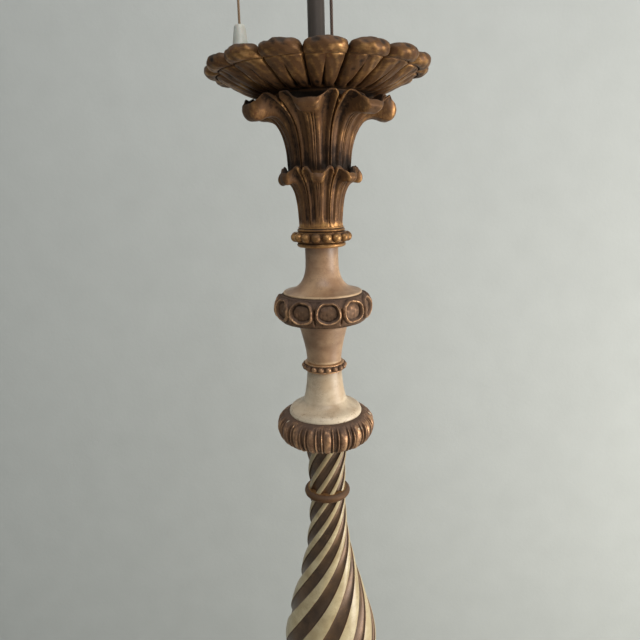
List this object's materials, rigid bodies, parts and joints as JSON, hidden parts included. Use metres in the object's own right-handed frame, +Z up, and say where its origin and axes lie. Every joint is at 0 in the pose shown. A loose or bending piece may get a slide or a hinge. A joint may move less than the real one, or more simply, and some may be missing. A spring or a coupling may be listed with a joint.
{
  "type": "floor lamp",
  "caption": "Tall carved and turned floor lamp in gilt and cream wood, with a twisted shaft, leaf capital, petalled drip pan and two pull-switch lampholders.",
  "frame": {"origin": "on the floor under the middle of the four feet", "axes": "+Z up along the tube; the front that the picture shows faces -Y; +X to the right"},
  "size_m": [0.3, 0.3, 1.762],
  "materials": {
    "gilt_wood": "water gilding on carved wood, aged and rubbed through to the brown bole",
    "cream_wood": "cream lacquer on turned wood, crazed and grimed",
    "fluted_wood": "cream lacquer lands between brown-gold flutes",
    "felt": "pressed wool felt",
    "steel": "zinc plated",
    "cover_paint": "satin black",
    "stem_metal": "dark brown bronzed tube",
    "aged_brass": "aged brass",
    "bright_brass": "bright brass",
    "porcelain": "glazed porcelain",
    "lead_rubber": "matt",
    "brown_cord": "braided cord",
    "dark_cord": "braided cord",
    "pull_plastic": "off-white moulding",
    "cap_metal": "satin",
    "bulb_glass": "opal frosted"
  },
  "bodies": {
    "root": {"felt_pads": "felt", "bun_feet": "gilt_wood", "foot_screws": "steel", "plinth": "gilt_wood", "base_cover": "cover_paint", "cover_screws": "steel", "inlet_bush": "aged_brass", "base_lobed_ring": "gilt_wood", "terminal_block": "porcelain", "base_washer": "steel", "base_nut": "steel", "base_bell": "cream_wood", "base_bead_ring": "gilt_wood", "base_neck": "cream_wood", "lower_medallion_ring": "gilt_wood", "lower_spool": "cream_wood", "lower_lobed_ring": "gilt_wood", "shaft_foot": "fluted_wood", "lower_shaft_ring": "gilt_wood", "twisted_shaft": "fluted_wood", "upper_shaft_ring": "gilt_wood", "shaft_top": "fluted_wood", "upper_lobed_ring": "gilt_wood", "lower_neck": "cream_wood", "small_bead_ring": "gilt_wood", "middle_neck": "cream_wood", "medallion_ring": "gilt_wood", "upper_neck": "cream_wood", "bead_collar": "gilt_wood", "leaf_cup": "gilt_wood", "leaf_capital": "gilt_wood", "drip_pan": "gilt_wood", "centre_tube": "steel", "pan_washer": "aged_brass", "pan_nut": "aged_brass", "stem_tube": "stem_metal", "inner_lead": "lead_rubber", "cluster_body": "aged_brass", "cluster_arms": "aged_brass", "arm_leads": "lead_rubber", "holder_cup_left": "aged_brass", "holder_cup_right": "aged_brass", "holder_shell_left": "aged_brass", "holder_shell_right": "aged_brass", "holder_insert_left": "porcelain", "holder_insert_right": "porcelain", "screw_shells": "bright_brass", "centre_contacts": "bright_brass", "switch_bush_left": "aged_brass", "switch_bush_right": "aged_brass", "bulb_caps": "cap_metal", "bulb_glasses": "bulb_glass", "shade_stud": "aged_brass"},
    "left_pull": {"plunger_left": "aged_brass", "pull_cord_left": "brown_cord", "pull_left": "pull_plastic"},
    "right_pull": {"plunger_right": "aged_brass", "pull_cord_right": "dark_cord", "pull_right": "pull_plastic"}
  },
  "joints": [
    {"name": "left_pull_slide", "type": "slide", "parent": "root", "child": "left_pull", "axis": [0, 0, -1], "range_m": [0, 0.008], "stiffness_N_per_m": 150},
    {"name": "right_pull_slide", "type": "slide", "parent": "root", "child": "right_pull", "axis": [0, 0, -1], "range_m": [0, 0.008], "stiffness_N_per_m": 150}
  ]
}
